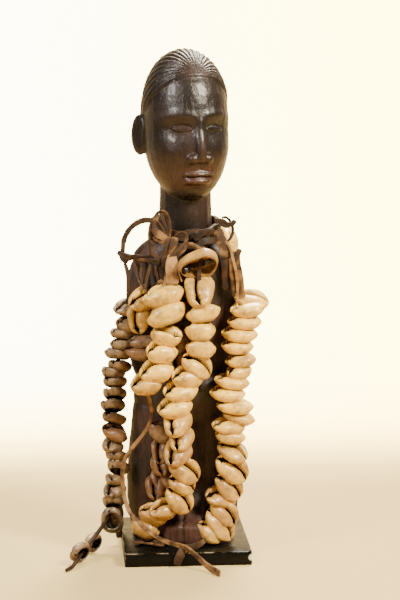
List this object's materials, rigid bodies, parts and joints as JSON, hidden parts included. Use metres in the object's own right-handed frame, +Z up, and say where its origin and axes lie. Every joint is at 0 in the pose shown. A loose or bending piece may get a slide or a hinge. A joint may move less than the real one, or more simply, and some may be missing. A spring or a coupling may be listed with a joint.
{
  "type": "carved wooden figure",
  "caption": "Standing carved wooden figure on a black plinth, its neck and shoulders hung with leather thongs and long strands of cowrie shells.",
  "frame": {"origin": "the middle of the plinth's underside", "axes": "+Z up through the figure, -Y the way the feet point and the viewer stands, +X to the viewer's right"},
  "size_m": [0.1333, 0.1156, 0.3254],
  "materials": {
    "wood": "dark, hand-polished, with a low gloss",
    "plinth": "black satin paint, worn at the edges",
    "leather": "stiff, dry hide, dark to tan",
    "pale_shell": "ivory shell, softly glossy and a little yellowed",
    "brown_shell": "smoked and soiled shell, nearly matt"
  },
  "bodies": {
    "root": {"plinth": "plinth", "figure": "wood", "thong_a": "leather", "thong_b": "leather", "thong_c": "leather", "thong_d": "leather", "thong_e": "leather", "thong_f": "leather", "neck_thong": "leather", "shoulder_loop": "leather", "leather_tab": "leather", "front_strap": "leather", "side_strap": "leather", "leather_scrap": "leather", "edge_strip": "leather", "cowrie_shoulder": "pale_shell", "cowries_a01": "brown_shell", "cowries_a02": "brown_shell", "cowries_a03": "brown_shell", "cowries_a04": "brown_shell", "cowries_b01": "pale_shell", "cowries_c01": "pale_shell", "cowries_c02": "pale_shell", "cowries_c03": "pale_shell", "cowries_c04": "pale_shell", "cowries_c05": "pale_shell", "cowries_c06": "pale_shell", "cowries_c07": "pale_shell", "cowries_c08": "pale_shell", "cowries_c09": "pale_shell", "cowries_c10": "pale_shell", "cowries_c11": "pale_shell", "cowries_c12": "pale_shell", "cowries_c13": "pale_shell", "cowries_c14": "pale_shell", "cowries_c15": "pale_shell", "cowries_c16": "pale_shell", "cowries_c17": "pale_shell", "cowries_c18": "pale_shell", "cowries_d01": "pale_shell", "cowries_d02": "pale_shell", "cowries_d03": "pale_shell", "cowries_d04": "pale_shell", "cowries_d05": "pale_shell", "cowries_d06": "pale_shell", "cowries_d07": "pale_shell", "cowries_d08": "pale_shell", "cowries_d09": "pale_shell", "cowries_d10": "pale_shell", "cowries_d11": "pale_shell", "cowries_d12": "pale_shell", "cowries_d13": "pale_shell", "cowries_d14": "pale_shell", "cowries_d15": "pale_shell", "cowries_d16": "pale_shell", "cowries_d17": "pale_shell", "cowries_e01": "brown_shell", "cowries_e02": "brown_shell", "cowries_f01": "pale_shell", "cowries_f02": "pale_shell"}
  },
  "joints": []
}
